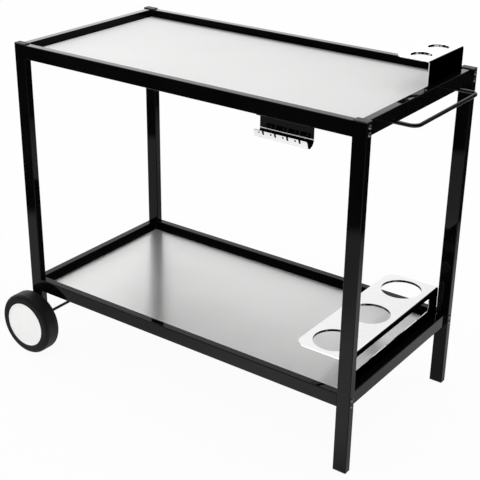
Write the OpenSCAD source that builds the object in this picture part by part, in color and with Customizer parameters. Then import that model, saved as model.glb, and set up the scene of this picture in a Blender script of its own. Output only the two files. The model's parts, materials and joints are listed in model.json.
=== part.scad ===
// Outdoor serving trolley with two trays, two wheels, a bar handle and three sheet racks.
// X runs along the length towards the handle, Y towards the back and Z up.
// The origin is on the floor, under the middle of the whole object.

/* [Frame] */
// Length of the frame over its legs
frame_l = 1000; // [850:10:1300]
// Depth of the frame over its legs
frame_d = 510; // [480:10:650]
// Height of the frame over the leg caps
frame_h = 850; // [750:5:950]
// Top of the low rails above the floor
low_rail_top = 206; // [190:1:280]
// Long side of the frame tube
tube_w = 35; // [32:1:45]
// Short side of the frame tube
tube_t = 20; // [18:1:28]
// Wall of the frame tube
tube_wall = 1.5; // [1.2:0.1:2]
// Inner corner radius of the frame tube
tube_inner_r = 0.5; // [0.4:0.1:2]
// Length of a left leg below the axle
leg_below_axle = 27; // [26:1:40]

/* [Caps and feet] */
// Height of the rim of a leg cap
cap_rim = 2.5; // [2:0.5:5]
// Height of the rim of a foot
foot_rim = 3; // [2:0.5:8]
// Length of a foot's plug inside its leg
foot_plug_l = 14; // [10:1:20]
// Wall of a plug
plug_wall = 1.6; // [1.2:0.1:2]
// Edge rounding of a rim
rim_edge_r = 1; // [0.5:0.1:1.5]

/* [Rail bolts] */
// Thread diameter of a rail bolt
bolt_d = 6; // [5:1:8]
// Head diameter of a rail bolt
bolt_head_d = 10.5; // [10:0.5:13]
// Head height of a rail bolt
bolt_head_h = 3.3; // [2.5:0.1:4]
// Distance between the two bolts of a rail end
bolt_pitch = 16; // [15:0.5:18]
// Length of a threaded block inside a rail end
block_l = 15; // [10:1:30]

/* [Trays] */
// Height of the upper tray's folded edge
upper_tray_h = 16.5; // [12:0.5:24]
// Height of the lower tray's folded edge
lower_tray_h = 9.5; // [9:0.5:20]
// Sheet thickness of a tray
tray_sheet = 1.2; // [1:0.1:1.5]
// Outer bend radius of a tray
tray_bend_r = 2.2; // [1.8:0.1:3]
// Width of a tray's inward flange
tray_flange = 15; // [13:0.5:20]
// Gap between a tray and the rails
tray_gap = 0.5; // [0.3:0.1:1.5]
// Depth of a stiffening channel under a tray
channel_h = 6.5; // [4:0.5:7]
// Width of a stiffening channel without its flanges
channel_w = 30; // [20:1:50]
// Flange of a stiffening channel
channel_flange = 12; // [8:1:20]
// Distance of a channel from the tray's middle
channel_x = 230; // [100:10:300]

/* [Tray tabs] */
// Width of a tab
tab_w = 30; // [24:1:36]
// Thickness of a tab
tab_t = 3; // [2:0.5:4]
// Distance of an end tab from the frame's end
tab_end = 100; // [80:5:115]
// Corner radius of a tab
tab_corner_r = 5; // [2:0.5:8]
// Width of a tab under its rail
tab_overlap = 10; // [8:0.5:12]
// Thread diameter of a tray screw
tray_screw_d = 5; // [4:0.5:6]

/* [Handle] */
// Diameter of the handle's rod
handle_d = 9; // [7:0.5:12]
// Distance of the handle's bar from its rail
handle_reach = 55.5; // [45:0.5:80]
// Bend radius of the rod's middle line
handle_bend_r = 18; // [12:1:30]
// Free rail in front of the handle
handle_front_gap = 101; // [60:1:140]
// Free rail behind the handle
handle_back_gap = 75; // [50:1:120]
// Height of the rod's middle above its rail's lower edge
handle_rise = 6.5; // [6.5:0.5:14]
// Size of the weld round a rod end
handle_weld = 1.4; // [0.5:0.1:1.5]

/* [Racks] */
// Sheet thickness of the racks
rack_sheet = 2; // [1:0.1:3]
// Inner bend radius of the racks
rack_bend_r = 3; // [2:0.5:6]
// Thread diameter of a rack screw
rack_screw_d = 4; // [3:0.5:5]

/* [Spice rack] */
// Length of the spice rack
spice_l = 170; // [160:1:220]
// Depth of its plate
spice_depth = 85; // [70:1:110]
// Height of its plate above the upper tray
spice_h = 72; // [60:1:100]
// Diameter of its holes
spice_hole_d = 50; // [30:1:58]
// Distance between its holes
spice_pitch = 85; // [70:1:90]
// Distance from the back leg
spice_back_gap = 8; // [3:1:40]
// Radius of its free corners
spice_corner_r = 18; // [5:1:25]

/* [Bottle holder] */
// Depth of its plate
holder_depth = 140; // [125:1:180]
// Height of its plate above the lower tray
holder_h = 101.5; // [90:0.5:140]
// Diameter of its holes
holder_hole_d = 102; // [70:1:110]
// Plate left beyond an end hole
holder_end = 15; // [10:1:25]
// Distance from the front leg
holder_front_gap = 1; // [0.5:0.5:15]
// Distance from the back leg
holder_back_gap = 17; // [2:1:30]
// Radius of its free corners
holder_corner_r = 30; // [10:1:40]
// Height of the window in its wall
window_h = 35.5; // [20:0.5:40]
// Wall left above the window
window_top = 12.5; // [10:0.5:20]
// Wall left beside the window
window_end = 46; // [30:1:80]
// Corner radius of the window
window_corner_r = 8; // [3:1:10]

/* [Tool rack] */
// Length of the tool rack
tool_l = 136.5; // [130:0.5:170]
// Sheet thickness of the tool rack
tool_sheet = 1.5; // [1:0.1:2]
// Distance from the right front leg
tool_end_gap = 99; // [95:1:250]
// Depth of the rack below its rail
tool_drop = 48.5; // [40:0.5:70]
// Radius of the bend from the back plate to the trough
tool_bend_r = 15; // [12:0.5:18]
// Radius of the bend from the trough to the lip
tool_lip_bend_r = 5; // [3:0.5:7]
// Length of the straight lip
tool_lip_l = 14.5; // [13:0.5:22]
// Lean of the lip away from upright
tool_lip_lean = 17; // [5:1:30]
// Width of a slot
slot_w = 5; // [4:0.1:6]
// Depth of a slot
slot_depth = 9.5; // [7:0.5:11]
// Distance between slots
slot_pitch = 30.8; // [28:0.1:32]
// Diameter of the small hole beside a slot
eyelet_d = 4.6; // [3:0.1:5]
// Distance of the small hole from its slot
eyelet_offset = 11; // [9:0.5:14]

/* [Wheels] */
// Diameter of the tyre
tyre_d = 170; // [150:2:200]
// Width of the tyre
tyre_w = 48; // [42:1:56]
// Shoulder radius of the tyre
tyre_shoulder_r = 10; // [5:0.5:12]
// Height of the tyre's wall over the rim
tyre_wall = 25; // [18:0.5:30]
// Gap between a wheel and its leg
wheel_gap = 5; // [3:0.5:8]
// Diameter of the axle
axle_d = 8; // [6:0.5:10]
// Wall of the hub's rim
rim_wall = 6; // [4:0.5:8]
// Outer diameter of the hub's boss
boss_d = 28; // [22:1:34]
// Number of ribs on each side of the hub
rib_count = 8; // [5:1:12]
// Thickness of a hub rib
rib_t = 3; // [2:0.5:5]
// Thickness of the hub's web
web_t = 4; // [3:0.5:6]
// Sheet thickness of the hub cap
hub_cap_wall = 2; // [1.5:0.1:3]
// Rise of the hub cap's middle
hub_cap_rise = 1.6; // [0.5:0.1:2]

/* [Fits] */
// Gap between tyre, hub and hub cap
wheel_fit = 0.1; // [0.05:0.05:0.2]
// Radial running clearance of the wheels on the axle
run_clear = 0.08; // [0.03:0.01:0.1]
// Radial clearance of a fastener in its hole
hole_clear = 0.2; // [0.1:0.05:0.4]
// Clearance of a thread in its tapped hole
thread_clear = 0.05; // [0.02:0.01:0.1]
// Clearance of plugs and blocks inside a tube
plug_clear = 0.15; // [0.1:0.05:0.3]
// End play of a wheel at each side
end_play = 0.3; // [0.2:0.05:0.5]
// Clearance of a rack above the tray beside it
rack_tray_gap = 1.5; // [0.5:0.5:3]

/* [Hidden] */
$fn = 48;

FRAME_COLOUR = "#1a1a1b";
CAP_COLOUR = "#48484a";
STEEL_COLOUR = "#c9c9c6";
POLISHED_COLOUR = "#dededc";
ZINC_COLOUR = "#9a9a98";
TYRE_COLOUR = "#222222";
HUB_COLOUR = "#2c2c2d";
HUB_CAP_COLOUR = "#f2f2f0";

// Small overlap that keeps cuts clean
EPS = 0.5;

// Tube and frame
tube_r = tube_inner_r + tube_wall;
hollow_w = tube_w - 2 * tube_wall;
hollow_t = tube_t - 2 * tube_wall;
leg_x = frame_l / 2 - tube_w / 2;
leg_y = frame_d / 2 - tube_t / 2;
leg_inner_x = frame_l / 2 - tube_w;
leg_inner_y = frame_d / 2 - tube_t;
tube_top = frame_h - cap_rim;
top_rail_z = tube_top - tube_w;
low_rail_z = low_rail_top - tube_w;
end_rail_inner_x = leg_x - tube_t / 2;
end_rail_outer_x = leg_x + tube_t / 2;

// Wheels and axle
tyre_r = tyre_d / 2;
axle_r = axle_d / 2;
axle_z = tyre_r;
seat_r = tyre_r - tyre_wall;
wheel_y = frame_d / 2 + wheel_gap + tyre_w / 2;
left_leg_z = axle_z - leg_below_axle;

// The origin lies midway between the tyres' left side and the handle's right side
wheel_side = leg_x + tyre_r;
handle_side = end_rail_outer_x + handle_reach + handle_d / 2;
shift_x = (wheel_side - handle_side) / 2;

// Inside the hub, measured outwards from the wheel's middle
rim_inset = 4;
rim_half = tyre_w / 2 - rim_inset;
rim_lip_t = 3;
rim_lip_rise = 1.8;
rim_lip_r = seat_r + rim_lip_rise;
rim_inner_r = seat_r - wheel_fit - rim_wall;
boss_r = boss_d / 2;
boss_inset = 10;
boss_end = tyre_w / 2 - boss_inset;
rib_inset = 2;
skirt_l = 8;
skirt_gap = 1;
hub_washer_t = 1.2;
hub_washer_z = boss_end + end_play;
nut_z = hub_washer_z + hub_washer_t;
nut_wall = 3;
nut_r = axle_r + nut_wall;
nut_h = 4;
nut_top_t = 1;
nut_chamfer = 1;
nut_flange = 2;
washer_ring = 5;
axle_end_y = wheel_y + nut_z + nut_h - thread_clear;
cap_proud = 0.5;
cap_ring_w = 4.5;
cap_ring_round = 1.3;
cap_inset = 0.3;

// Trays
upper_tray_top = top_rail_z + upper_tray_h;
lower_tray_top = low_rail_z + lower_tray_h;
tray_l = 2 * (end_rail_inner_x - tray_gap);
tray_d = 2 * (leg_inner_y - tray_gap);
tray_screw_y = tray_d / 2 - tray_flange / 2;
tab_x = frame_l / 2 - tab_end;
tab_places = [for (x = [-tab_x, 0, tab_x], side = [-1, 1]) [x, side]];

// Length of a rack screw or tray screw past the sheet it holds, and of a rail bolt short of its block's end
rack_screw_past = 4;
tray_screw_past = 2;
bolt_short = 1;

// Fastener heads follow their thread
function head_d(thread) = 1.9 * thread;
function head_h(thread) = 0.55 * thread;

// Racks
spice_y = leg_inner_y - spice_back_gap - spice_l / 2;
spice_top = upper_tray_top + spice_h;
spice_wall = spice_h - rack_tray_gap;
spice_screw_z = (upper_tray_top + rack_tray_gap + tube_top) / 2;
spice_screw_ys = [for (side = [-1, 1]) spice_y + side * spice_pitch / 2];
holder_l = 2 * leg_inner_y - holder_front_gap - holder_back_gap;
holder_y = (holder_front_gap - holder_back_gap) / 2;
holder_top = lower_tray_top + holder_h;
holder_wall = holder_h - rack_tray_gap;
holder_pitch = (holder_l - holder_hole_d - 2 * holder_end) / 2;
holder_screw_z = (lower_tray_top + rack_tray_gap + low_rail_top) / 2;
holder_screw_ys = [for (i = [-1, 0, 1]) holder_y + i * holder_pitch];
window_z = holder_top - window_top - window_h / 2;
window_l = holder_l - 2 * window_end;

// Tool rack: its back plate hangs from the rear edge of the front rail's underside
tool_x = leg_inner_x - tool_end_gap - tool_l / 2;
tool_flange = tube_t - 2 * tube_r;
tool_flange_bend_r = 1.5;
tool_back_y = -leg_inner_y - tube_r;
tool_screw_y = tool_back_y - tool_flange / 2 - tool_sheet / 2;
tool_screw_xs = [for (side = [-1, 1]) tool_x + side * 1.5 * slot_pitch];
lip_turn = 90 - tool_lip_lean;
flange_bend = tool_flange_bend_r + tool_sheet;
trough_bend = tool_bend_r + tool_sheet;
lip_bend = tool_lip_bend_r + tool_sheet;
lip_bend_y = tool_back_y - trough_bend;
lip_bend_z = top_rail_z + lip_bend - tool_drop;
lip_corner_inset = 5;
lip_corner_r = lip_corner_inset + 0.3;
bend_steps = 14;

// Points of a bend, clockwise from an angle
function arc(centre, r, from, turn, first = 0) = [
    for (i = [first:bend_steps])
        let (angle = from - turn * i / bend_steps) centre + r * [cos(angle), sin(angle)]
];

// One face of the tool rack's sheet, a depth inside its outer face, from the flange to the lip
function tool_path(depth) = concat(
    [[-tool_flange, -depth]],
    arc([-flange_bend, -flange_bend], flange_bend - depth, 90, 90),
    arc([-trough_bend, trough_bend - tool_drop], trough_bend - depth, 0, 90),
    lip_path(arc([-trough_bend, lip_bend - tool_drop], lip_bend - depth, -90, lip_turn, 1))
);
function lip_path(bend) = concat(
    bend,
    [bend[len(bend) - 1] + tool_lip_l * [-sin(tool_lip_lean), cos(tool_lip_lean)]]
);
function reversed(points) = [for (i = [len(points) - 1:-1:0]) points[i]];

// A cap's plug ends just above the upper bolt
cap_bolt_gap = 0.5;
cap_plug_l = (tube_w - bolt_pitch - bolt_d) / 2 - cap_bolt_gap;

// Moves a piece from the middle of the frame to the middle of the whole object
module in_place() {
    translate([shift_x, 0, 0]) children();
}

// Rounded rectangle, centred
module rounded_rect(w, d, r) {
    square([w - 2 * r, d], center = true);
    square([w, d - 2 * r], center = true);
    for (x = [-1, 1], y = [-1, 1])
        translate([x * (w / 2 - r), y * (d / 2 - r)]) circle(r);
}

// Rectangle on the X axis with its two upper corners rounded
module top_rounded(w, h, r) {
    translate([-w / 2, 0]) square([w, h - r]);
    translate([r - w / 2, 0]) square([w - 2 * r, h]);
    for (x = [-1, 1])
        translate([x * (w / 2 - r), h - r]) circle(r);
}

// Sheet bent through a right angle, from straight right of its centre clockwise
module bend_section(inner_r, sheet) {
    outer_r = inner_r + sheet;
    intersection() {
        difference() {
            circle(outer_r);
            circle(inner_r);
        }
        translate([0, -outer_r - EPS]) square(outer_r + EPS);
    }
}

// Frame tube along Z, with its long side along X
module tube(l) {
    linear_extrude(l)
        difference() {
            rounded_rect(tube_w, tube_t, tube_r);
            rounded_rect(hollow_w, hollow_t, tube_inner_r);
        }
}

// Leg standing at one corner, from a height up to the caps
module leg(side_x, side_y, z) {
    translate([side_x * leg_x, side_y * leg_y, z])
        tube(tube_top - z);
}

// Cylinder along X or Y through a point
module drill_x(p, d, l) {
    translate(p) rotate([0, 90, 0]) cylinder(h = l, d = d, center = true);
}

module drill_y(p, d, l) {
    translate(p) rotate([90, 0, 0]) cylinder(h = l, d = d, center = true);
}

// Holes of the rail bolts through one leg
module leg_bolt_holes(side_x, side_y) {
    for (rail_z = [top_rail_z, low_rail_z], side = [-1, 1])
        drill_x([side_x * leg_x, side_y * leg_y, rail_z + tube_w / 2 + side * bolt_pitch / 2],
                bolt_d + 2 * hole_clear, tube_w + 2 * EPS);
}

module right_leg(side_y) {
    in_place() color(FRAME_COLOUR)
        difference() {
            leg(1, side_y, foot_rim);
            leg_bolt_holes(1, side_y);
        }
}

module left_leg(side_y) {
    in_place() color(FRAME_COLOUR)
        difference() {
            leg(-1, side_y, left_leg_z);
            leg_bolt_holes(-1, side_y);
            drill_y([-leg_x, side_y * leg_y, axle_z], axle_d + 2 * run_clear, tube_t + 2 * EPS);
        }
}

// Rim of a cap or foot, with its outer edges rounded, its flat side down
module rim(h) {
    intersection() {
        linear_extrude(h) rounded_rect(tube_w, tube_t, tube_r);
        rotate([90, 0, 0]) linear_extrude(tube_t, center = true) top_rounded(tube_w, h, rim_edge_r);
        rotate([90, 0, 90]) linear_extrude(tube_w, center = true) top_rounded(tube_t, h, rim_edge_r);
    }
}

// Plug below a rim: a hollow body with fins that grip the tube
module plug_body(l) {
    fin_t = 1.2;
    fin_reach = 0.8;
    fin_pitch = 0.4 * l;
    fin_w = hollow_w - 2 * plug_clear;
    fin_d = hollow_t - 2 * plug_clear;
    core_w = fin_w - 2 * fin_reach;
    core_d = fin_d - 2 * fin_reach;
    difference() {
        union() {
            translate([0, 0, -l]) linear_extrude(l) rounded_rect(core_w, core_d, tube_inner_r);
            for (i = [1:2])
                translate([0, 0, -i * fin_pitch])
                    linear_extrude(fin_t) rounded_rect(fin_w, fin_d, tube_inner_r);
        }
        translate([0, 0, -l - EPS])
            linear_extrude(l + EPS - plug_wall)
                square([core_w - 2 * plug_wall, core_d - 2 * plug_wall], center = true);
    }
}

module leg_cap(side_x, side_y) {
    in_place() color(CAP_COLOUR)
        translate([side_x * leg_x, side_y * leg_y, tube_top]) {
            rim(cap_rim);
            plug_body(cap_plug_l);
        }
}

// The same plug turned over, with its rim under the leg's lower end
module leg_foot(side_x, side_y, z, rim_h) {
    in_place() color(CAP_COLOUR)
        translate([side_x * leg_x, side_y * leg_y, z])
            mirror([0, 0, 1]) {
                rim(rim_h);
                plug_body(foot_plug_l);
            }
}

// Rail along X between two legs, its long side upright
module long_rail(side_y, z) {
    translate([-leg_inner_x, side_y * leg_y, z + tube_w / 2])
        rotate([0, 90, 0]) tube(2 * leg_inner_x);
}

// Rail along Y between two legs
module end_rail(side_x, z) {
    translate([side_x * leg_x, leg_inner_y, z + tube_w / 2])
        rotate([90, 90, 0]) tube(2 * leg_inner_y);
}

// Tapped hole for a rack screw in the inner wall of a right end rail
module rack_screw_holes(ys, z) {
    for (y = ys)
        drill_x([end_rail_inner_x, y, z], rack_screw_d + 2 * thread_clear, 4 * tube_wall);
}

module top_rail_front() {
    in_place() color(FRAME_COLOUR)
        difference() {
            long_rail(-1, top_rail_z);
            for (x = tool_screw_xs)
                translate([x, tool_screw_y, top_rail_z - 2 * tube_wall])
                    cylinder(h = 4 * tube_wall, d = rack_screw_d + 2 * thread_clear);
        }
}

module top_rail_right() {
    in_place() color(FRAME_COLOUR)
        difference() {
            end_rail(1, top_rail_z);
            rack_screw_holes(spice_screw_ys, spice_screw_z);
        }
}

module low_rail_right() {
    in_place() color(FRAME_COLOUR)
        difference() {
            end_rail(1, low_rail_z);
            rack_screw_holes(holder_screw_ys, holder_screw_z);
        }
}

// Screw pointing down from the origin, with a domed head and a hexagon socket
module screw(thread, head, height, l) {
    dome_r = (head * head / 4 + height * height) / (2 * height);
    socket = thread * 0.6;
    difference() {
        rotate_extrude()
            intersection() {
                translate([0, height - dome_r]) circle(dome_r, $fn = 96);
                square([head / 2, height]);
            }
        translate([0, 0, height * 0.4])
            cylinder(h = height, r = socket / sqrt(3), $fn = 6);
    }
    translate([0, 0, -l]) cylinder(h = l, d = thread);
}

// Bolts through the legs into the ends of the long rails
module rail_bolts(z) {
    in_place() color(ZINC_COLOUR)
        for (side_x = [-1, 1], side_y = [-1, 1], side = [-1, 1])
            translate([side_x * frame_l / 2, side_y * leg_y, z + tube_w / 2 + side * bolt_pitch / 2])
                rotate([0, side_x * 90, 0])
                    screw(bolt_d, bolt_head_d, bolt_head_h, tube_w + block_l - bolt_short);
}

// Threaded blocks inside the ends of the long rails
module rail_blocks(z) {
    in_place() color(ZINC_COLOUR)
        for (side_x = [-1, 1], side_y = [-1, 1])
            translate([side_x * (leg_inner_x - block_l / 2), side_y * leg_y, z + tube_w / 2])
                difference() {
                    rotate([0, 90, 0])
                        linear_extrude(block_l, center = true)
                            rounded_rect(hollow_w - 2 * plug_clear, hollow_t - 2 * plug_clear,
                                         tube_inner_r);
                    for (side = [-1, 1])
                        drill_x([0, 0, side * bolt_pitch / 2], bolt_d + 2 * thread_clear,
                                block_l + 2 * EPS);
                }
}

// Block whose four long edges at top and bottom are rounded, with its top at the origin
module folded_block(l, d, h, r) {
    translate([0, 0, -h / 2])
        intersection() {
            rotate([90, 0, 0]) linear_extrude(d, center = true) rounded_rect(l, h, r);
            rotate([90, 0, 90]) linear_extrude(l, center = true) rounded_rect(d, h, r);
        }
}

// Tray folded from sheet: flat top, edges down all round, and an inward flange
module tray(top, h) {
    in_place() color(STEEL_COLOUR)
        difference() {
            translate([0, 0, top]) folded_block(tray_l, tray_d, h, tray_bend_r);
            translate([0, 0, top - tray_sheet])
                folded_block(tray_l - 2 * tray_sheet, tray_d - 2 * tray_sheet, h - 2 * tray_sheet,
                             tray_bend_r - tray_sheet);
            translate([-tray_l / 2 + tray_flange, -tray_d / 2 + tray_flange, top - h - EPS])
                cube([tray_l - 2 * tray_flange, tray_d - 2 * tray_flange, h / 2]);
            for (place = tab_places)
                translate([place[0], place[1] * tray_screw_y, top - h - EPS])
                    cylinder(h = tray_sheet + 2 * EPS, d = tray_screw_d + 2 * thread_clear);
        }
}

// Top-hat channels across a tray's underside
module stiffeners(top) {
    end_gap = 2;
    span = tray_d - 2 * (tray_flange + end_gap);
    in_place() color(STEEL_COLOUR)
        for (x = [-channel_x, channel_x])
            translate([x, 0, top - tray_sheet])
                rotate([90, 0, 0])
                    linear_extrude(span, center = true) {
                        translate([-channel_w / 2, -channel_h])
                            square([channel_w, tray_sheet]);
                        for (side = [0, 1])
                            mirror([side, 0]) {
                                translate([channel_w / 2 - tray_sheet, -channel_h])
                                    square([tray_sheet, channel_h]);
                                translate([channel_w / 2 - tray_sheet, -tray_sheet])
                                    square([channel_flange + tray_sheet, tray_sheet]);
                            }
                    }
}

// Tabs under the long rails that carry a tray's flange
module tray_tabs(z) {
    outer_y = leg_inner_y + tab_overlap;
    inner_y = tray_d / 2 - tray_flange;
    in_place() color(FRAME_COLOUR)
        for (place = tab_places)
            translate([place[0], place[1] * (outer_y + inner_y) / 2, z - tab_t])
                difference() {
                    linear_extrude(tab_t) rounded_rect(tab_w, outer_y - inner_y, tab_corner_r);
                    translate([0, place[1] * (tray_screw_y - (outer_y + inner_y) / 2), -EPS])
                        cylinder(h = tab_t + 2 * EPS, d = tray_screw_d + 2 * hole_clear);
                }
}

module tray_screws(z) {
    in_place() color(ZINC_COLOUR)
        for (place = tab_places)
            translate([place[0], place[1] * tray_screw_y, z - tab_t])
                rotate([180, 0, 0])
                    screw(tray_screw_d, head_d(tray_screw_d), head_h(tray_screw_d),
                          tab_t + tray_sheet + tray_screw_past);
}

// Round bar bent twice, welded by both ends to the right top rail
module push_handle() {
    front_y = -leg_inner_y + handle_front_gap;
    back_y = leg_inner_y - handle_back_gap;
    arm = handle_reach - handle_bend_r;
    weld_r = handle_d / 2 + handle_weld;
    in_place() color(FRAME_COLOUR)
        translate([end_rail_outer_x, 0, top_rail_z + handle_rise]) {
            for (y = [front_y, back_y])
                translate([0, y, 0]) rotate([0, 90, 0]) {
                    cylinder(h = arm, d = handle_d);
                    cylinder(h = handle_weld, r1 = weld_r, r2 = handle_d / 2);
                }
            translate([handle_reach, front_y + handle_bend_r, 0])
                rotate([-90, 0, 0])
                    cylinder(h = back_y - front_y - 2 * handle_bend_r, d = handle_d);
            translate([arm, front_y + handle_bend_r, 0])
                rotate([0, 0, -90]) rod_bend();
            translate([arm, back_y - handle_bend_r, 0])
                rod_bend();
        }
}

// Quarter turn of the handle's rod
module rod_bend() {
    rotate_extrude(angle = 90, $fn = 96)
        translate([handle_bend_r, 0]) circle(d = handle_d);
}

// Section of an angle rack, with its outer corner at the origin
module angle_section(plate, wall) {
    bend = rack_bend_r + rack_sheet;
    translate([-plate, -rack_sheet]) square([plate - bend, rack_sheet]);
    translate([-rack_sheet, -wall]) square([rack_sheet, wall - bend]);
    translate([-bend, -bend]) rotate(90) bend_section(rack_bend_r, rack_sheet);
}

// Angle rack along Y, with rounded free corners on its plate and its wall
module angle_rack(l, plate, wall, corner_r) {
    wall_corner_r = 6;
    intersection() {
        rotate([90, 0, 0]) linear_extrude(l, center = true) angle_section(plate, wall);
        translate([0, 0, -wall - EPS])
            linear_extrude(wall + 2 * EPS)
                rotate(90) top_rounded(l, plate, corner_r);
        rotate([90, 0, 90])
            linear_extrude(2 * plate + 2 * EPS, center = true)
                translate([0, EPS]) mirror([0, 1]) top_rounded(l, wall + EPS, wall_corner_r);
    }
}

module spice_rack() {
    in_place() color(POLISHED_COLOUR)
        difference() {
            translate([end_rail_inner_x, spice_y, spice_top])
                angle_rack(spice_l, spice_depth, spice_wall, spice_corner_r);
            for (side = [-1, 1])
                translate([end_rail_inner_x - spice_depth / 2, spice_y + side * spice_pitch / 2,
                           spice_top - rack_sheet - EPS])
                    cylinder(h = rack_sheet + 2 * EPS, d = spice_hole_d, $fn = 96);
            for (y = spice_screw_ys)
                drill_x([end_rail_inner_x, y, spice_screw_z], rack_screw_d + 2 * hole_clear,
                        4 * rack_sheet);
        }
}

module bottle_holder() {
    in_place() color(POLISHED_COLOUR)
        difference() {
            translate([end_rail_inner_x, holder_y, holder_top])
                angle_rack(holder_l, holder_depth, holder_wall, holder_corner_r);
            for (i = [-1, 0, 1])
                translate([end_rail_inner_x - holder_depth / 2, holder_y + i * holder_pitch,
                           holder_top - rack_sheet - EPS])
                    cylinder(h = rack_sheet + 2 * EPS, d = holder_hole_d, $fn = 128);
            translate([end_rail_inner_x, holder_y, window_z])
                rotate([90, 0, 90])
                    linear_extrude(4 * rack_sheet, center = true)
                        rounded_rect(window_l, window_h, window_corner_r);
            for (y = holder_screw_ys)
                drill_x([end_rail_inner_x, y, holder_screw_z], rack_screw_d + 2 * hole_clear,
                        4 * rack_sheet);
        }
}

// Screws through a rack's wall into its rail
module rack_screws(ys, z) {
    in_place() color(ZINC_COLOUR)
        for (y = ys)
            translate([end_rail_inner_x - rack_sheet, y, z])
                rotate([0, -90, 0])
                    screw(rack_screw_d, head_d(rack_screw_d), head_h(rack_screw_d),
                          rack_sheet + tube_wall + rack_screw_past);
}

// Section of the tool rack, X towards the back and Y up, from the underside of its rail
module tool_section() {
    polygon(concat(tool_path(0), reversed(tool_path(tool_sheet))));
}

// Puts a cutter at places along the lip's upper edge, in the lip's own plane
module along_lip(xs) {
    for (x = xs)
        translate([tool_x + x, lip_bend_y, lip_bend_z])
            rotate([tool_lip_lean, 0, 0])
                translate([0, tool_sheet / 2 - lip_bend, tool_lip_l]) children();
}

// Hook rail of polished sheet: back plate, deep trough and slotted lip
module tool_rack() {
    cut = 4 * tool_sheet;
    slot_straight = slot_depth - slot_w / 2;
    in_place() color(POLISHED_COLOUR)
        difference() {
            translate([tool_x, tool_back_y, top_rail_z])
                rotate([90, 0, 90]) linear_extrude(tool_l, center = true) tool_section();
            along_lip([for (i = [-1.5:1:1.5]) i * slot_pitch + eyelet_offset / 4]) {
                translate([0, 0, (EPS - slot_straight) / 2])
                    cube([slot_w, cut, slot_straight + EPS], center = true);
                drill_y([0, 0, -slot_straight], slot_w, cut);
                drill_y([-eyelet_offset, 0, -slot_depth / 2], eyelet_d, cut);
            }
            for (side = [-1, 1])
                along_lip([side * (tool_l / 2 - lip_corner_inset)])
                    translate([0, 0, -lip_corner_inset])
                        difference() {
                            translate([side * lip_corner_r, 0, lip_corner_r])
                                cube([2 * lip_corner_r, cut, 2 * lip_corner_r], center = true);
                            drill_y([0, 0, 0], 2 * lip_corner_r, cut + 2 * EPS);
                        }
            for (x = tool_screw_xs)
                translate([x, tool_screw_y, top_rail_z - 2 * tool_sheet])
                    cylinder(h = 4 * tool_sheet, d = rack_screw_d + 2 * hole_clear);
        }
}

module tool_rack_screws() {
    in_place() color(ZINC_COLOUR)
        for (x = tool_screw_xs)
            translate([x, tool_screw_y, top_rail_z - tool_sheet])
                rotate([180, 0, 0])
                    screw(rack_screw_d, head_d(rack_screw_d), head_h(rack_screw_d),
                          tool_sheet + tube_wall + rack_screw_past);
}

// Puts a piece on a wheel's axis, which runs outwards from the frame
module at_wheel(side_y) {
    translate([-leg_x, side_y * wheel_y, axle_z])
        rotate([-side_y * 90, 0, 0]) children();
}

module axle() {
    chamfer = 1;
    in_place() color(ZINC_COLOUR)
        translate([-leg_x, 0, axle_z])
            rotate([90, 0, 0]) {
                cylinder(h = 2 * (axle_end_y - chamfer), r = axle_r, center = true);
                for (side = [0, 1])
                    mirror([0, 0, side])
                        translate([0, 0, axle_end_y - chamfer])
                            cylinder(h = chamfer, r1 = axle_r, r2 = axle_r - chamfer);
            }
}

module ring(z, h, outer_r, inner_r) {
    translate([0, 0, z])
        difference() {
            cylinder(h = h, r = outer_r);
            translate([0, 0, -EPS]) cylinder(h = h + 2 * EPS, r = inner_r);
        }
}

// Spacers between legs and hubs, and thin washers outside the hubs
module axle_washers() {
    washer_r = axle_r + washer_ring;
    bore_r = axle_r + hole_clear;
    in_place() color(ZINC_COLOUR)
        for (side_y = [-1, 1])
            at_wheel(side_y) {
                ring(-tyre_w / 2 - wheel_gap, wheel_gap - end_play, washer_r, bore_r);
                ring(hub_washer_z, hub_washer_t, washer_r, bore_r);
            }
}

// Push-on nuts closed over the axle's ends
module axle_nuts() {
    in_place() color(ZINC_COLOUR)
        for (side_y = [-1, 1])
            at_wheel(side_y) {
                ring(nut_z, nut_h, nut_r, axle_r + thread_clear);
                ring(nut_z, nut_top_t, nut_r + nut_flange, nut_r - nut_chamfer);
                translate([0, 0, nut_z + nut_h])
                    cylinder(h = nut_top_t, r1 = nut_r, r2 = nut_r - nut_chamfer);
            }
}

// Section of the tyre, X outwards from the axle and Y along it
module tyre_section() {
    shoulder = tyre_shoulder_r;
    rebate = rim_half - rim_lip_t - wheel_fit;
    difference() {
        union() {
            translate([seat_r, -tyre_w / 2]) square([tyre_wall - shoulder, tyre_w]);
            translate([seat_r, shoulder - tyre_w / 2]) square([tyre_wall, tyre_w - 2 * shoulder]);
            for (side = [-1, 1])
                translate([tyre_r - shoulder, side * (tyre_w / 2 - shoulder)]) circle(shoulder);
        }
        for (side = [0, 1])
            mirror([0, side])
                translate([seat_r - EPS, rebate])
                    square([rim_lip_r + wheel_fit - seat_r + EPS, tyre_w / 2 - rebate + EPS]);
    }
}

module tyre(side_y) {
    in_place() color(TYRE_COLOUR)
        at_wheel(side_y) rotate_extrude($fn = 128) tyre_section();
}

// Section of the hub: rim with a lip at each side, web and boss
module hub_section() {
    bore_r = axle_r + run_clear;
    translate([rim_inner_r, -rim_half]) square([rim_wall, 2 * rim_half]);
    for (side = [0, 1])
        mirror([0, side])
            translate([rim_inner_r, rim_half - rim_lip_t])
                square([rim_lip_r - rim_inner_r, rim_lip_t]);
    translate([boss_r - EPS, -web_t / 2]) square([rim_inner_r - boss_r + 2 * EPS, web_t]);
    translate([bore_r, -tyre_w / 2]) square([boss_r - bore_r, tyre_w / 2 + boss_end]);
}

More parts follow.
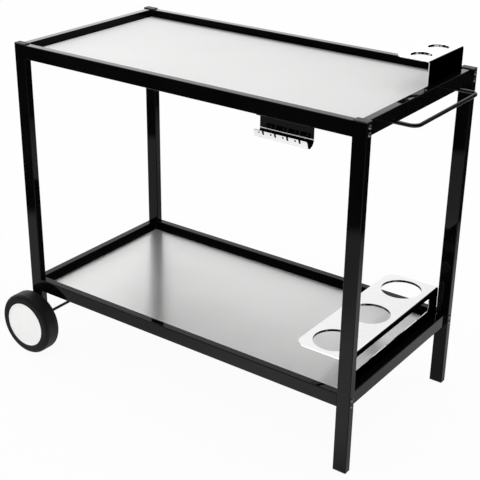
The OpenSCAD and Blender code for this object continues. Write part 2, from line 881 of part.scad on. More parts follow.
module hub(side_y) {
    rib_inner_z = rib_inset - rim_half;
    rib_outer_z = rim_half - skirt_l - skirt_gap;
    in_place() color(HUB_COLOUR)
        at_wheel(side_y) {
            rotate_extrude($fn = 128) hub_section();
            for (i = [0:rib_count - 1])
                rotate(i * 360 / rib_count)
                    translate([boss_r - EPS, -rib_t / 2, rib_inner_z])
                        cube([rim_inner_r - boss_r + 2 * EPS, rib_t, rib_outer_z - rib_inner_z]);
        }
}

// Section of the hub cap: domed face, rounded ring and the skirt that snaps into the rim
module hub_cap_section() {
    outer_r = rim_lip_r - cap_inset;
    ring_top = tyre_w / 2 + cap_proud;
    face_r = outer_r - cap_ring_w + EPS;
    face_z = tyre_w / 2 - hub_cap_rise;
    dome_r = (face_r * face_r + hub_cap_rise * hub_cap_rise) / (2 * hub_cap_rise);
    skirt_outer_r = rim_inner_r - wheel_fit;
    intersection() {
        translate([0, face_z + hub_cap_rise - dome_r])
            difference() {
                circle(dome_r, $fn = 720);
                circle(dome_r - hub_cap_wall, $fn = 720);
            }
        square([face_r, tyre_w]);
    }
    translate([outer_r - cap_ring_w, rim_half])
        square([cap_ring_w, ring_top - rim_half - cap_ring_round]);
    translate([outer_r - cap_ring_w + cap_ring_round, rim_half])
        square([cap_ring_w - 2 * cap_ring_round, ring_top - rim_half]);
    for (r = [outer_r - cap_ring_round, outer_r - cap_ring_w + cap_ring_round])
        translate([r, ring_top - cap_ring_round]) circle(cap_ring_round);
    translate([skirt_outer_r - hub_cap_wall, rim_half - skirt_l])
        square([hub_cap_wall, skirt_l + face_z - rim_half]);
}

module hub_cap(side_y) {
    slot = 5;
    slot_count = 6;
    in_place() color(HUB_CAP_COLOUR)
        at_wheel(side_y)
            difference() {
                rotate_extrude($fn = 128) hub_cap_section();
                for (i = [0:slot_count - 1])
                    rotate((i + 0.5) * 360 / slot_count)
                        translate([rim_inner_r - 3 * hub_cap_wall, -slot / 2, rim_half - skirt_l - EPS])
                            cube([5 * hub_cap_wall, slot, skirt_l + EPS]);
            }
}

// One module per node
module leg_front_left() left_leg(-1);
module leg_back_left() left_leg(1);
module leg_front_right() right_leg(-1);
module leg_back_right() right_leg(1);
module cap_front_left() leg_cap(-1, -1);
module cap_back_left() leg_cap(-1, 1);
module cap_front_right() leg_cap(1, -1);
module cap_back_right() leg_cap(1, 1);
module foot_front_right() leg_foot(1, -1, foot_rim, foot_rim);
module foot_back_right() leg_foot(1, 1, foot_rim, foot_rim);
module leg_plug_front_left() leg_foot(-1, -1, left_leg_z, cap_rim);
module leg_plug_back_left() leg_foot(-1, 1, left_leg_z, cap_rim);
module top_rail_back() in_place() color(FRAME_COLOUR) long_rail(1, top_rail_z);
module top_rail_left() in_place() color(FRAME_COLOUR) end_rail(-1, top_rail_z);
module low_rail_front() in_place() color(FRAME_COLOUR) long_rail(-1, low_rail_z);
module low_rail_back() in_place() color(FRAME_COLOUR) long_rail(1, low_rail_z);
module low_rail_left() in_place() color(FRAME_COLOUR) end_rail(-1, low_rail_z);
module rail_bolts_top() rail_bolts(top_rail_z);
module rail_bolts_low() rail_bolts(low_rail_z);
module rail_blocks_top() rail_blocks(top_rail_z);
module rail_blocks_low() rail_blocks(low_rail_z);
module upper_tray() tray(upper_tray_top, upper_tray_h);
module lower_tray() tray(lower_tray_top, lower_tray_h);
module upper_tray_stiffeners() stiffeners(upper_tray_top);
module lower_tray_stiffeners() stiffeners(lower_tray_top);
module upper_tray_tabs() tray_tabs(top_rail_z);
module lower_tray_tabs() tray_tabs(low_rail_z);
module upper_tray_screws() tray_screws(top_rail_z);
module lower_tray_screws() tray_screws(low_rail_z);
module spice_rack_screws() rack_screws(spice_screw_ys, spice_screw_z);
module bottle_holder_screws() rack_screws(holder_screw_ys, holder_screw_z);
module tyre_front() tyre(-1);
module hub_front() hub(-1);
module hub_cap_front() hub_cap(-1);
module tyre_back() tyre(1);
module hub_back() hub(1);
module hub_cap_back() hub_cap(1);

leg_front_left();
leg_back_left();
leg_front_right();
leg_back_right();
cap_front_left();
cap_back_left();
cap_front_right();
cap_back_right();
foot_front_right();
foot_back_right();
leg_plug_front_left();
leg_plug_back_left();
top_rail_front();
top_rail_back();
top_rail_left();
top_rail_right();
low_rail_front();
low_rail_back();
low_rail_left();
low_rail_right();
rail_bolts_top();
rail_bolts_low();
rail_blocks_top();
rail_blocks_low();
upper_tray();
upper_tray_stiffeners();
upper_tray_tabs();
upper_tray_screws();
lower_tray();
lower_tray_stiffeners();
lower_tray_tabs();
lower_tray_screws();
push_handle();
spice_rack();
spice_rack_screws();
bottle_holder();
bottle_holder_screws();
tool_rack();
tool_rack_screws();
axle();
axle_washers();
axle_nuts();
tyre_front();
hub_front();
hub_cap_front();
tyre_back();
hub_back();
hub_cap_back();
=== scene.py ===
"""Outdoor serving trolley in a plain studio. Metres, +X towards the handle, +Y back, +Z up."""
import json
import math

import bmesh
import bpy
from mathutils import Matrix, Vector


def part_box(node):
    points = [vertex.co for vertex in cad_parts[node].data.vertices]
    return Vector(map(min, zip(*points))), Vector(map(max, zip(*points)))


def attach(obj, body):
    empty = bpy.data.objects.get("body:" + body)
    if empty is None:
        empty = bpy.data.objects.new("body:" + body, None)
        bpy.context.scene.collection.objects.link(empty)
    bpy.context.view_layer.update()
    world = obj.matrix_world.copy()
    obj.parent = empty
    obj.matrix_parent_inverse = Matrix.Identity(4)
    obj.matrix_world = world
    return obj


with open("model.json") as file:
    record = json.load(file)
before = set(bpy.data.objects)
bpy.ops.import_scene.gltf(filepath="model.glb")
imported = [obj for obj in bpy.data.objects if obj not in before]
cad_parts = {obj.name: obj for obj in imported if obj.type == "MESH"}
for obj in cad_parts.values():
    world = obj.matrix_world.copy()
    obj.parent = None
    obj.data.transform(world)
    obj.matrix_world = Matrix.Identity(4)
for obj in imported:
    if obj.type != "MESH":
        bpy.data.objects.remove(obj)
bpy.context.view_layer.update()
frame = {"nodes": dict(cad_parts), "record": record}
NODES = frame["nodes"]

MM = 0.001
WHITE = (1, 1, 1, 1)

# The camera looks along FORWARD, seen from above
YAW = math.radians(35.616)
FORWARD = (-math.sin(YAW), math.cos(YAW), 0)
SIDEWAYS = (math.cos(YAW), math.sin(YAW), 0)
TO_THE_BACK = (0, 1, 0)
UPWARD = (0, 0, 1)

# A surface faces along an axis when that part of its direction is over this
HALF_TURNED = 0.5


# Node trees

def empty_tree(owner):
    """The emptied node tree of a new material or world."""
    owner.use_nodes = True
    owner.node_tree.nodes.clear()
    return owner.node_tree


def set_input(tree, socket, value):
    """A socket linked to another node's output, or set to a number or colour."""
    if isinstance(value, bpy.types.NodeSocket):
        tree.links.new(value, socket)
    else:
        socket.default_value = value


def grey(value, warmth=0.0):
    """A grey, a little warmer or cooler."""
    return (value * (1 + warmth), value, value * (1 - warmth), 1)


def maths(tree, operation, *values):
    """Result of a sum with sockets or numbers."""
    node = tree.nodes.new("ShaderNodeMath")
    node.operation = operation
    for socket, value in zip(node.inputs, values):
        set_input(tree, socket, value)
    return node.outputs["Value"]


def spread(tree, value, low, high, from_low=0.3, from_high=0.7):
    """A value between two bounds, stretched to run from low to high."""
    node = tree.nodes.new("ShaderNodeMapRange")
    node.inputs["From Min"].default_value = from_low
    node.inputs["From Max"].default_value = from_high
    node.inputs["To Min"].default_value = low
    node.inputs["To Max"].default_value = high
    tree.links.new(value, node.inputs["Value"])
    return node.outputs["Result"]


def mix_colours(tree, share, first, second, blend_type="MIX"):
    """Two colours, plain ones or sockets, mixed by a share from 0 to 1."""
    node = tree.nodes.new("ShaderNodeMix")
    node.data_type = "RGBA"
    node.blend_type = blend_type
    set_input(tree, node.inputs["Factor"], share)
    set_input(tree, node.inputs["A"], first)
    set_input(tree, node.inputs["B"], second)
    return node.outputs["Result"]


def times(tree, first, second):
    """The product of two colours."""
    return mix_colours(tree, 1, first, second, "MULTIPLY")


def position(tree, scale=(1, 1, 1)):
    """Place on the object, stretched by a scale along each axis."""
    coordinates = tree.nodes.new("ShaderNodeTexCoord")
    mapping = tree.nodes.new("ShaderNodeMapping")
    mapping.inputs["Scale"].default_value = scale
    tree.links.new(coordinates.outputs["Object"], mapping.inputs["Vector"])
    return mapping.outputs["Vector"]


def axis_parts(tree, coordinate):
    """X, Y and Z of a coordinate: "Object" is the place, "Normal" the direction a surface faces."""
    coordinates = tree.nodes.new("ShaderNodeTexCoord")
    parts = tree.nodes.new("ShaderNodeSeparateXYZ")
    tree.links.new(coordinates.outputs[coordinate], parts.inputs["Vector"])
    return parts.outputs


def noise(tree, vector, per_metre, detail=3.0, roughness=0.5):
    """Noise value between 0 and 1, with about so many features per metre."""
    node = tree.nodes.new("ShaderNodeTexNoise")
    node.inputs["Scale"].default_value = per_metre
    node.inputs["Detail"].default_value = detail
    node.inputs["Roughness"].default_value = roughness
    tree.links.new(vector, node.inputs["Vector"])
    return node.outputs["Fac"]


def bump(tree, relief, depth, strength):
    """A bump that follows a value, with its depth in metres."""
    node = tree.nodes.new("ShaderNodeBump")
    node.inputs["Distance"].default_value = depth
    node.inputs["Strength"].default_value = strength
    tree.links.new(relief, node.inputs["Height"])
    return node.outputs["Normal"]


def levels_along(tree, vector, direction, stops, reach=1, brightest=1.0):
    """A grey that follows levels set at places along a direction, from minus to plus the reach. The
    brightest level comes out white."""
    dot = tree.nodes.new("ShaderNodeVectorMath")
    dot.operation = "DOT_PRODUCT"
    dot.inputs[1].default_value = direction
    tree.links.new(vector, dot.inputs[0])
    ramp = tree.nodes.new("ShaderNodeValToRGB")
    elements = ramp.color_ramp.elements
    # New stops start halfway, and all are put in place below
    while len(elements) < len(stops):
        elements.new(0.5)
    for element, (place, level) in zip(elements, stops):
        element.position = (place + reach) / (2 * reach)
        element.color = grey(level / brightest)
    along = spread(tree, dot.outputs["Value"], 0, 1, from_low=-reach, from_high=reach)
    tree.links.new(along, ramp.inputs["Fac"])
    return ramp.outputs["Color"]


# Materials

def new_material(name):
    """A material with an empty tree and one Principled shader on its output."""
    material = bpy.data.materials.new(name)
    tree = empty_tree(material)
    output = tree.nodes.new("ShaderNodeOutputMaterial")
    shader = tree.nodes.new("ShaderNodeBsdfPrincipled")
    tree.links.new(shader.outputs["BSDF"], output.inputs["Surface"])
    return material, tree, shader


def powder_coat(name, dark, light, roughness, specular=0.16, shade_sides=False):
    """Gloss powder coat: nearly black, a clear mirror at a low angle, with the faint orange peel of
    paint. With shade_sides, painted shade blackens the specular tint of faces that don't face up, so
    only what faces up mirrors."""
    material, tree, shader = new_material(name)
    place = position(tree)
    patches = spread(tree, noise(tree, place, per_metre=9), 0, 1)
    colour = mix_colours(tree, patches, grey(dark), grey(light))
    tree.links.new(colour, shader.inputs["Base Color"])
    sheen = noise(tree, place, per_metre=35, detail=4)
    tree.links.new(spread(tree, sheen, roughness - 0.015, roughness + 0.02), shader.inputs["Roughness"])
    peel = noise(tree, place, per_metre=420, detail=1)
    tree.links.new(bump(tree, peel, 0.012 * MM, strength=0.5), shader.inputs["Normal"])
    shader.inputs["Specular IOR Level"].default_value = specular
    if shade_sides:
        # Painted shade: the specular tint goes black on faces that don't face up
        upward = spread(tree, axis_parts(tree, "Normal")["Z"], 0, 1)
        tint = mix_colours(tree, upward, grey(0.0), grey(1.0))
        tree.links.new(tint, shader.inputs["Specular Tint"])
    return material


def brushed_steel(name, dark, light, roughness, painted_shades, metallic=1.0):
    """Stainless sheet with fine brush lines along X: upright things mirrored in it stay narrow and are
    drawn out towards the viewer. Each painted shade is a direction with levels along it that darken the
    colour."""
    material, tree, shader = new_material(name)
    lines = noise(tree, position(tree, (0.02, 1, 1)), per_metre=1800, detail=4, roughness=0.7)
    clouds = spread(tree, noise(tree, position(tree), per_metre=3.5, detail=2), 0.1, 0.6)
    line_share = 0.35
    tone = maths(tree, "MULTIPLY_ADD", lines, line_share, clouds)
    warmth = 0.004
    colour = mix_colours(tree, tone, grey(dark, warmth), grey(light, warmth))
    # Painted shade: the colour darkens by the levels along each direction
    for direction, stops in painted_shades:
        colour = times(tree, colour, levels_along(tree, position(tree), direction, stops))
    tree.links.new(colour, shader.inputs["Base Color"])
    tree.links.new(spread(tree, lines, roughness - 0.05, roughness + 0.05), shader.inputs["Roughness"])
    tree.links.new(bump(tree, lines, 0.006 * MM, strength=0.35), shader.inputs["Normal"])
    shader.inputs["Metallic"].default_value = metallic
    across = tree.nodes.new("ShaderNodeCombineXYZ")
    across.inputs["X"].default_value = FORWARD[0]
    across.inputs["Y"].default_value = FORWARD[1]
    tree.links.new(across.outputs["Vector"], shader.inputs["Tangent"])
    shader.inputs["Anisotropic"].default_value = 1.0
    return material


def polished_steel(name, shaded, painted_highlight=None):
    """Mirror-polished sheet with faint polishing haze. Shaded is a function that marks, from 0 to 1,
    where painted shade turns the sheet nearly black, standing in for dark parts of the room it faces.
    Painted highlight, if given, marks a painted white line, where the sheet is pale grey and not metal."""
    material, tree, shader = new_material(name)
    place = position(tree)
    haze = noise(tree, place, per_metre=60, detail=5)
    steel = mix_colours(tree, haze, grey(0.95), grey(0.99))
    # Painted shade: nearly black where the shaded mask is set
    colour = mix_colours(tree, shaded(tree), steel, grey(0.004))
    tree.links.new(colour, shader.inputs["Specular Tint"])
    tree.links.new(spread(tree, haze, 0.04, 0.09), shader.inputs["Roughness"])
    waves = noise(tree, place, per_metre=14, detail=1)
    tree.links.new(bump(tree, waves, 0.12 * MM, strength=0.4), shader.inputs["Normal"])
    # Painted highlight: a pale grey, not metallic line
    if painted_highlight:
        line = painted_highlight(tree)
        colour = mix_colours(tree, line, colour, grey(0.85))
        tree.links.new(maths(tree, "SUBTRACT", 1.0, line), shader.inputs["Metallic"])
    else:
        shader.inputs["Metallic"].default_value = 1.0
    tree.links.new(colour, shader.inputs["Base Color"])
    return material


def shaded_rack(node_name):
    """Painted shade of a rack: dark on its upright flank towards the handle and on the walls of its
    holes. A rim round its outer edge stays bright."""
    low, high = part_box(node_name)
    rim = 6 * MM
    wall_shade = 0.92

    def shaded(tree):
        faces = axis_parts(tree, "Normal")
        place = axis_parts(tree, "Object")
        upright = maths(tree, "LESS_THAN", maths(tree, "ABSOLUTE", faces["Z"]), HALF_TURNED)
        wall = maths(tree, "MULTIPLY", upright, wall_shade)
        for index, axis in enumerate("XY"):
            middle = (low[index] + high[index]) / 2
            half = (high[index] - low[index]) / 2 - rim
            offset = maths(tree, "ABSOLUTE", maths(tree, "SUBTRACT", place[axis], middle))
            wall = maths(tree, "MULTIPLY", wall, maths(tree, "LESS_THAN", offset, half))
        return maths(tree, "MAXIMUM", spread(tree, faces["X"], 0, 1), wall)
    return shaded


def shaded_trough(tree):
    """Painted shade of the tool rack: dark inside its trough and on its cut end towards the handle."""
    faces = axis_parts(tree, "Normal")
    back_or_up = maths(tree, "MAXIMUM", faces["Y"], faces["Z"])
    inside = spread(tree, back_or_up, 0, 1, from_low=0.20, from_high=0.26)
    return maths(tree, "MAXIMUM", inside, spread(tree, faces["X"], 0, 1))


def trough_painted_reflection(tree):
    """A painted reflection: the bright line along the bend below the tool rack's back plate."""
    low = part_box("tool_rack")[0].z
    line_low = low + 15.2 * MM
    line_high = low + 17.4 * MM
    height = axis_parts(tree, "Object")["Z"]
    above = maths(tree, "GREATER_THAN", height, line_low)
    below = maths(tree, "LESS_THAN", height, line_high)
    front = maths(tree, "LESS_THAN", axis_parts(tree, "Normal")["Y"], -HALF_TURNED)
    return maths(tree, "MULTIPLY", maths(tree, "MULTIPLY", above, below), front)


def collar_steel(name):
    """Polished wall of a hole, with the room it mirrors painted on as dark and light streaks round it.
    """
    material, tree, shader = new_material(name)
    painted_streaks = noise(tree, position(tree, (1, 1, 0.1)), per_metre=55, detail=2)
    share = spread(tree, painted_streaks, 0, 1, from_low=0.5, from_high=0.62)
    tree.links.new(mix_colours(tree, share, grey(0.012), grey(0.62)), shader.inputs["Base Color"])
    haze = noise(tree, position(tree), per_metre=60, detail=5)
    tree.links.new(spread(tree, haze, 0.05, 0.12), shader.inputs["Roughness"])
    shader.inputs["Metallic"].default_value = 1.0
    return material


def plated_metal(name, dark, light, roughness, metallic=1.0):
    """Zinc plate or black oxide on small fasteners."""
    material, tree, shader = new_material(name)
    mottle = noise(tree, position(tree), per_metre=260)
    tree.links.new(mix_colours(tree, mottle, grey(dark), grey(light)), shader.inputs["Base Color"])
    tree.links.new(spread(tree, mottle, roughness - 0.06, roughness + 0.08), shader.inputs["Roughness"])
    tree.links.new(bump(tree, mottle, 0.02 * MM, strength=0.4), shader.inputs["Normal"])
    shader.inputs["Metallic"].default_value = metallic
    return material


def moulded_plastic(name, dark, light, roughness, specular=0.5, per_metre=900, depth=0.03 * MM):
    """Injection-moulded plastic with a fine grain, so many features per metre and so deep."""
    material, tree, shader = new_material(name)
    place = position(tree)
    mottle = noise(tree, place, per_metre=45)
    tree.links.new(mix_colours(tree, mottle, dark, light), shader.inputs["Base Color"])
    tree.links.new(spread(tree, mottle, roughness - 0.05, roughness + 0.06), shader.inputs["Roughness"])
    shader.inputs["Specular IOR Level"].default_value = specular
    grain = noise(tree, place, per_metre, detail=2)
    tree.links.new(bump(tree, grain, depth, strength=0.5), shader.inputs["Normal"])
    return material


def rubber(name):
    """Matt tyre rubber, a little dusty in patches."""
    material, tree, shader = new_material(name)
    place = position(tree)
    dust = noise(tree, place, per_metre=28, detail=5, roughness=0.65)
    colour = mix_colours(tree, spread(tree, dust, 0, 1), grey(0.005), grey(0.010, warmth=0.03))
    tree.links.new(colour, shader.inputs["Base Color"])
    tree.links.new(spread(tree, dust, 0.48, 0.62), shader.inputs["Roughness"])
    shader.inputs["Specular IOR Level"].default_value = 0.15
    grain = noise(tree, place, per_metre=1300)
    tree.links.new(bump(tree, grain, 0.05 * MM, strength=0.6), shader.inputs["Normal"])
    return material


def sideways_painted_falloff(level):
    """A painted falloff of light across the view, from full at the left end of the trays to a level at
    the right end.
    """
    return (SIDEWAYS, [(-0.55, 1.0), (0.55, level)])


MATERIALS = {
    "frame_black": powder_coat("frame_black", dark=0.0015, light=0.003, roughness=0.03),
    "cap_plastic": moulded_plastic("cap_plastic", dark=grey(0.030), light=grey(0.042), roughness=0.5,
                                   specular=0.22),
    "tray_steel": brushed_steel("tray_steel", dark=0.60, light=0.69, roughness=0.33,
                                painted_shades=[sideways_painted_falloff(0.88)]),
    "rack_steel": polished_steel("rack_steel", shaded_rack("bottle_holder")),
    "zinc": plated_metal("zinc", dark=0.40, light=0.56, roughness=0.34),
    "bolt_black": plated_metal("bolt_black", dark=0.22, light=0.34, roughness=0.18, metallic=0.9),
    "tyre_rubber": rubber("tyre_rubber"),
    "hub_plastic": moulded_plastic("hub_plastic", dark=grey(0.018), light=grey(0.03), roughness=0.45),
    "hub_cap_plastic": moulded_plastic("hub_cap_plastic", dark=grey(0.965, warmth=0.005),
                                       light=grey(0.99, warmth=0.005), roughness=0.32,
                                       per_metre=500, depth=0.012 * MM),
}

# The upper tray lies open to the light from all round, and mirrors little but the rail behind it. That
# rail is a painted reflection: the colour darkens towards the tray's back edge.
TRAY_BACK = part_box("upper_tray")[1].y
PAINTED_RAIL_REFLECTION = (TO_THE_BACK, [(TRAY_BACK - 30 * MM, 1.0), (TRAY_BACK - 22 * MM, 0.86),
                               (TRAY_BACK - 13 * MM, 0.52), (TRAY_BACK, 0.18)])

# Pieces with their own copies of their slot's finish, some with painted light and shade for a part of
# the room which others of their slot don't see
OWN_MATERIALS = {
    "spice_rack": polished_steel("spice_rack_steel", shaded_rack("spice_rack")),
    "tool_rack": polished_steel("tool_rack_steel", shaded_trough, trough_painted_reflection),
    "upper_tray": brushed_steel("upper_tray_steel", dark=0.87, light=0.93, roughness=0.36,
                                painted_shades=[sideways_painted_falloff(0.84), PAINTED_RAIL_REFLECTION], metallic=0.12),
    "push_handle": powder_coat("handle_black", dark=0.001, light=0.002, roughness=0.02, specular=0.5),
}

# Painted shade: on these back and left rails the specular tint is black on faces that don't face up,
# standing in for the dark part of the room their inner sides face
for node_name in ("top_rail_back", "top_rail_left", "low_rail_back"):
    OWN_MATERIALS[node_name] = powder_coat(node_name + "_black", dark=0.0012, light=0.0025,
                                           roughness=0.03, shade_sides=True)

SLOT_OF = {part["node"]: part["material_slot"] for part in frame["record"]["subparts"]}
for node_name, node in NODES.items():
    node.data.materials.clear()
    node.data.materials.append(OWN_MATERIALS.get(node_name, MATERIALS[SLOT_OF[node_name]]))


# Visible details

# A weld bead's centre line stands a little off the leg and stops short of the rail's corners
BEAD_RADIUS = 1.1 * MM
BEAD_OFF_LEG = 0.35 * MM
BEAD_FROM_CORNER = 2.6 * MM
BEAD_STEP = 0.3 * MM
BEAD_SIDES = 10
BEAD_TAPER_STEPS = 4
RIPPLE_SHARE = 0.10
RIPPLE_PITCH = 1.3 * MM

# Collars keep clear of the CAD's own faces, so that no two faces lie in one plane
RACK_SHEET = 2 * MM
COLLAR_DEPTH = 6 * MM
COLLAR_WALL = 0.8 * MM
COLLAR_ROUNDING = 0.3 * MM
COLLAR_CLEAR = 0.05 * MM
COLLAR_SIDES = 96

# The racks' holes. The holder's outer ones end this far from its own ends
SPICE_HOLE_D = 50 * MM
SPICE_HOLE_OFFSET = 42.5 * MM
HOLDER_HOLE_D = 102 * MM
HOLDER_END = 15 * MM


def add_piece(name, shape, material_slot, body, material=None, smooth=True):
    """An object for a bmesh, riding on a body. It has its slot's finish unless it's given its own."""
    mesh = bpy.data.meshes.new(name)
    shape.to_mesh(mesh)
    shape.free()
    for polygon in mesh.polygons:
        polygon.use_smooth = smooth
    mesh.materials.append(material or MATERIALS[material_slot])
    piece = bpy.data.objects.new(name, mesh)
    bpy.context.scene.collection.objects.link(piece)
    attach(piece, body)


def line_points(start, end):
    """Evenly spaced points on a straight line."""
    count = max(2, round((end - start).length / BEAD_STEP))
    return [start.lerp(end, index / count) for index in range(count + 1)]


def join_rings(shape, ring, after):
    """Faces between two rings of as many points."""
    for index in range(len(ring)):
        beside = (index + 1) % len(ring)
        shape.faces.new((ring[index], ring[beside], after[beside], after[index]))


def add_bead(shape, start, end):
    """A rippled weld bead along a straight line, added to a bmesh."""
    path = line_points(start, end)
    rings = []
    length = 0.0
    for index, point in enumerate(path):
        before = path[max(index - 1, 0)]
        after = path[min(index + 1, len(path) - 1)]
        length += (point - before).length
        along = (after - before).normalized()
        across = along.cross(Vector(TO_THE_BACK)).normalized()
        outward = along.cross(across)
        steps_from_end = min(index, len(path) - 1 - index)
        taper = min(1.0, (1 + steps_from_end) / BEAD_TAPER_STEPS)
        ripple = 1 + RIPPLE_SHARE * math.sin(2 * math.pi * length / RIPPLE_PITCH)
        size = BEAD_RADIUS * taper * ripple
        ring = []
        for side in range(BEAD_SIDES):
            turn = 2 * math.pi * side / BEAD_SIDES
            offset = size * (across * math.cos(turn) + outward * math.sin(turn))
            ring.append(shape.verts.new(point + offset))
        rings.append(ring)
    for ring, after in zip(rings, rings[1:]):
        join_rings(shape, ring, after)
    shape.faces.new(reversed(rings[0]))
    shape.faces.new(rings[-1])


def make_frame_welds():
    """Weld beads down both upright sides and along the lower side of each end rail's two ends."""
    for rail_name in ("top_rail_left", "top_rail_right", "low_rail_left", "low_rail_right"):
        low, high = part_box(rail_name)
        shape = bmesh.new()
        for y in (low.y, high.y):
            bead_y = y - math.copysign(BEAD_OFF_LEG, y)
            for x in (low.x, high.x):
                add_bead(shape, Vector((x, bead_y, low.z + BEAD_FROM_CORNER)),
                         Vector((x, bead_y, high.z - BEAD_FROM_CORNER)))
            add_bead(shape, Vector((low.x + BEAD_FROM_CORNER, bead_y, low.z)),
                     Vector((high.x - BEAD_FROM_CORNER, bead_y, low.z)))
        add_piece(rail_name + "_welds", shape, "frame_black", "frame")


def make_collars(rack_name, hole_d, centres, material):
    """The turned-down collars of a rack's holes, each a rounded ring below the sheet."""
    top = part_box(rack_name)[1].z
    shoulder = -RACK_SHEET - COLLAR_CLEAR
    section = [(0.0, -COLLAR_ROUNDING), (0.0, -COLLAR_DEPTH),
               (COLLAR_WALL / 2, -COLLAR_DEPTH - COLLAR_ROUNDING), (COLLAR_WALL, -COLLAR_DEPTH),
               (COLLAR_WALL, shoulder), (COLLAR_CLEAR, shoulder)]
    shape = bmesh.new()
    for x, y in centres:
        rings = []
        for side in range(COLLAR_SIDES):
            turn = 2 * math.pi * side / COLLAR_SIDES
            ring = []
            for out, drop in section:
                radius = hole_d / 2 - COLLAR_CLEAR + out
                ring.append(shape.verts.new((x + radius * math.cos(turn), y + radius * math.sin(turn),
                                             top + drop)))
            rings.append(ring)
        for ring, after in zip(rings, rings[1:] + rings[:1]):
            join_rings(shape, ring, after)
    bmesh.ops.recalc_face_normals(shape, faces=shape.faces)
    add_piece(rack_name + "_collars", shape, "rack_steel", "frame", material, smooth=False)


def row_of_holes(low, high, offsets):
    """Centres of holes on a rack's middle line, at offsets from its middle along Y."""
    return [((low.x + high.x) / 2, (low.y + high.y) / 2 + offset) for offset in offsets]


make_frame_welds()

COLLAR_STEEL = collar_steel("collar_steel")
SPICE_LOW, SPICE_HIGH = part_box("spice_rack")
make_collars("spice_rack", SPICE_HOLE_D,
             row_of_holes(SPICE_LOW, SPICE_HIGH, (-SPICE_HOLE_OFFSET, SPICE_HOLE_OFFSET)), COLLAR_STEEL)
HOLDER_LOW, HOLDER_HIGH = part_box("bottle_holder")
HOLDER_PITCH = (HOLDER_HIGH.y - HOLDER_LOW.y - HOLDER_HOLE_D - 2 * HOLDER_END) / 2
make_collars("bottle_holder", HOLDER_HOLE_D,
             row_of_holes(HOLDER_LOW, HOLDER_HIGH, (-HOLDER_PITCH, 0, HOLDER_PITCH)), COLLAR_STEEL)


# Studio

# Levels of light that polished surfaces see: on the floor at places in metres, and in the world at
# parts of a direction from minus one to one
DARK = 0.012
TABLE_REACH = 4
TABLE_BRIGHTEST = 1.5
TABLE_WIDTH = [(-0.9, 0.80), (-0.5, 0.92), (-0.25, 1.45), (0.1, 1.45), (0.3, 0.60), (0.6, 0.60),
               (0.75, 0.82), (1.05, 0.78), (1.15, 0.67), (1.3, 0.46), (1.43, 0.32), (1.5, DARK)]
TABLE_FRONT = [(-1.38, DARK), (-1.30, 1.0)]
SCREEN_BRIGHTEST = 2.6
SCREEN_HEIGHT = [(0.0, 2.5), (0.22, 2.5), (0.26, 2.2), (0.29, 1.7), (0.34, 1.45), (0.40, 1.25),
                 (0.45, 1.08), (0.53, 1.0), (0.62, 1.8), (0.9, 2.4)]
SCREEN_DEPTH = [(-0.25, DARK), (0.0, 0.3), (0.2, 1.0)]
SCREEN_SIDE = [(-0.35, 1.0), (-0.1, 1.0), (0.2, 0.8), (0.5, 0.35), (0.8, 0.05)]

# The white table's front edge runs across this direction
FRONT_EDGE = (0.49, 0.87, 0)

# The camera sees the floor mostly as a plain glow, so that only a faint shadow stays
FLOOR_HALF = 30.0
FLOOR_GREY = 0.9
FLOOR_GLOW = 0.93

# The camera's place from the middle of the frame's length, and its turns
CAMERA_PLACE = (1.4996, -2.0792, 1.5431)
CAMERA_PITCH = math.radians(24.758)
CAMERA_ROLL = math.radians(0.800)
CAMERA_FOCUS_PIXELS = 1094.5
PHOTO_PIXELS = 480
SENSOR_WIDTH = 36.0


def plain_light(tree, kind, colour, strength):
    """Light of a colour, a plain one or a socket, from a surface or the world."""
    node = tree.nodes.new(kind)
    set_input(tree, node.inputs["Color"], colour)
    node.inputs["Strength"].default_value = strength
    return node.outputs[0]


def mix_shaders(tree, share, first, second):
    """Two shaders mixed by a share from 0 to 1."""
    node = tree.nodes.new("ShaderNodeMixShader")
    for socket, value in zip(node.inputs, (share, first, second)):
        tree.links.new(value, socket)
    return node.outputs["Shader"]


def make_floor():
    """White floor that keeps the object's shadow. Polished surfaces see it as a lit table, which is dark
    past its front edge and its right end."""
    corners = [(-FLOOR_HALF, -FLOOR_HALF, 0), (FLOOR_HALF, -FLOOR_HALF, 0),
               (FLOOR_HALF, FLOOR_HALF, 0), (-FLOOR_HALF, FLOOR_HALF, 0)]
    mesh = bpy.data.meshes.new("floor")
    mesh.from_pydata(corners, [], [(0, 1, 2, 3)])
    floor = bpy.data.objects.new("floor", mesh)
    bpy.context.scene.collection.objects.link(floor)
    material = bpy.data.materials.new("floor_white")
    tree = empty_tree(material)
    ray = tree.nodes.new("ShaderNodeLightPath").outputs
    diffuse = tree.nodes.new("ShaderNodeBsdfDiffuse")
    diffuse.inputs["Color"].default_value = grey(FLOOR_GREY)
    glow = plain_light(tree, "ShaderNodeEmission", WHITE, 1.0)
    glow_share = maths(tree, "MULTIPLY", ray["Is Camera Ray"], FLOOR_GLOW)
    seen = mix_shaders(tree, glow_share, diffuse.outputs["BSDF"], glow)

    coordinates = tree.nodes.new("ShaderNodeTexCoord").outputs["Object"]
    width = levels_along(tree, coordinates, SIDEWAYS, TABLE_WIDTH, TABLE_REACH, TABLE_BRIGHTEST)
    front = levels_along(tree, coordinates, FRONT_EDGE, TABLE_FRONT, TABLE_REACH)
    table = plain_light(tree, "ShaderNodeEmission", times(tree, width, front), TABLE_BRIGHTEST)
    surface = mix_shaders(tree, ray["Is Glossy Ray"], seen, table)
    output = tree.nodes.new("ShaderNodeOutputMaterial")
    tree.links.new(surface, output.inputs["Surface"])
    mesh.materials.append(material)


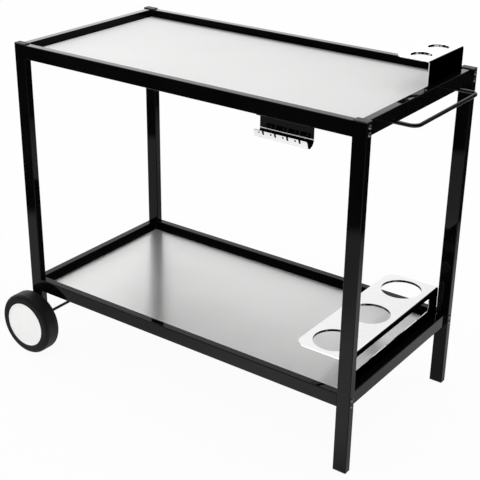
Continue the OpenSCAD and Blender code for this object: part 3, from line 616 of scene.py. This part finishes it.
def make_world():
    """Even light for matt surfaces. Polished ones see a bright screen behind the object, brightest low
    down, high up and to the left, and a dark room in front of it."""
    world = bpy.data.worlds.new("studio")
    bpy.context.scene.world = world
    tree = empty_tree(world)
    coordinates = tree.nodes.new("ShaderNodeTexCoord").outputs["Generated"]
    height = levels_along(tree, coordinates, UPWARD, SCREEN_HEIGHT, brightest=SCREEN_BRIGHTEST)
    depth = levels_along(tree, coordinates, FORWARD, SCREEN_DEPTH)
    side = levels_along(tree, coordinates, SIDEWAYS, SCREEN_SIDE)
    pattern = times(tree, times(tree, height, depth), side)
    screen = plain_light(tree, "ShaderNodeBackground", pattern, SCREEN_BRIGHTEST)
    even = plain_light(tree, "ShaderNodeBackground", WHITE, 1.0)
    ray = tree.nodes.new("ShaderNodeLightPath").outputs
    surface = mix_shaders(tree, ray["Is Glossy Ray"], even, screen)
    output = tree.nodes.new("ShaderNodeOutputWorld")
    tree.links.new(surface, output.inputs["Surface"])


def make_camera():
    """The photograph's view, fitted to its straight edges."""
    frame_middle = (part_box("leg_front_left")[0].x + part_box("leg_front_right")[1].x) / 2
    x, y, z = CAMERA_PLACE
    place = Vector((frame_middle + x, y, z))
    forward = Vector(FORWARD) * math.cos(CAMERA_PITCH) - Vector(UPWARD) * math.sin(CAMERA_PITCH)
    right = Vector(SIDEWAYS)
    up = right.cross(forward)
    turned_right = right * math.cos(CAMERA_ROLL) + up * math.sin(CAMERA_ROLL)
    turned_up = up * math.cos(CAMERA_ROLL) - right * math.sin(CAMERA_ROLL)
    data = bpy.data.cameras.new("camera")
    data.sensor_width = SENSOR_WIDTH
    data.lens = SENSOR_WIDTH * CAMERA_FOCUS_PIXELS / PHOTO_PIXELS
    data.clip_end = 100.0
    camera = bpy.data.objects.new("camera", data)
    bpy.context.scene.collection.objects.link(camera)
    rotation = Matrix((turned_right, turned_up, -forward)).transposed()
    camera.matrix_world = Matrix.Translation(place) @ rotation.to_4x4()
    bpy.context.scene.camera = camera


make_floor()
make_world()
make_camera()
bpy.context.scene.view_settings.view_transform = "Standard"
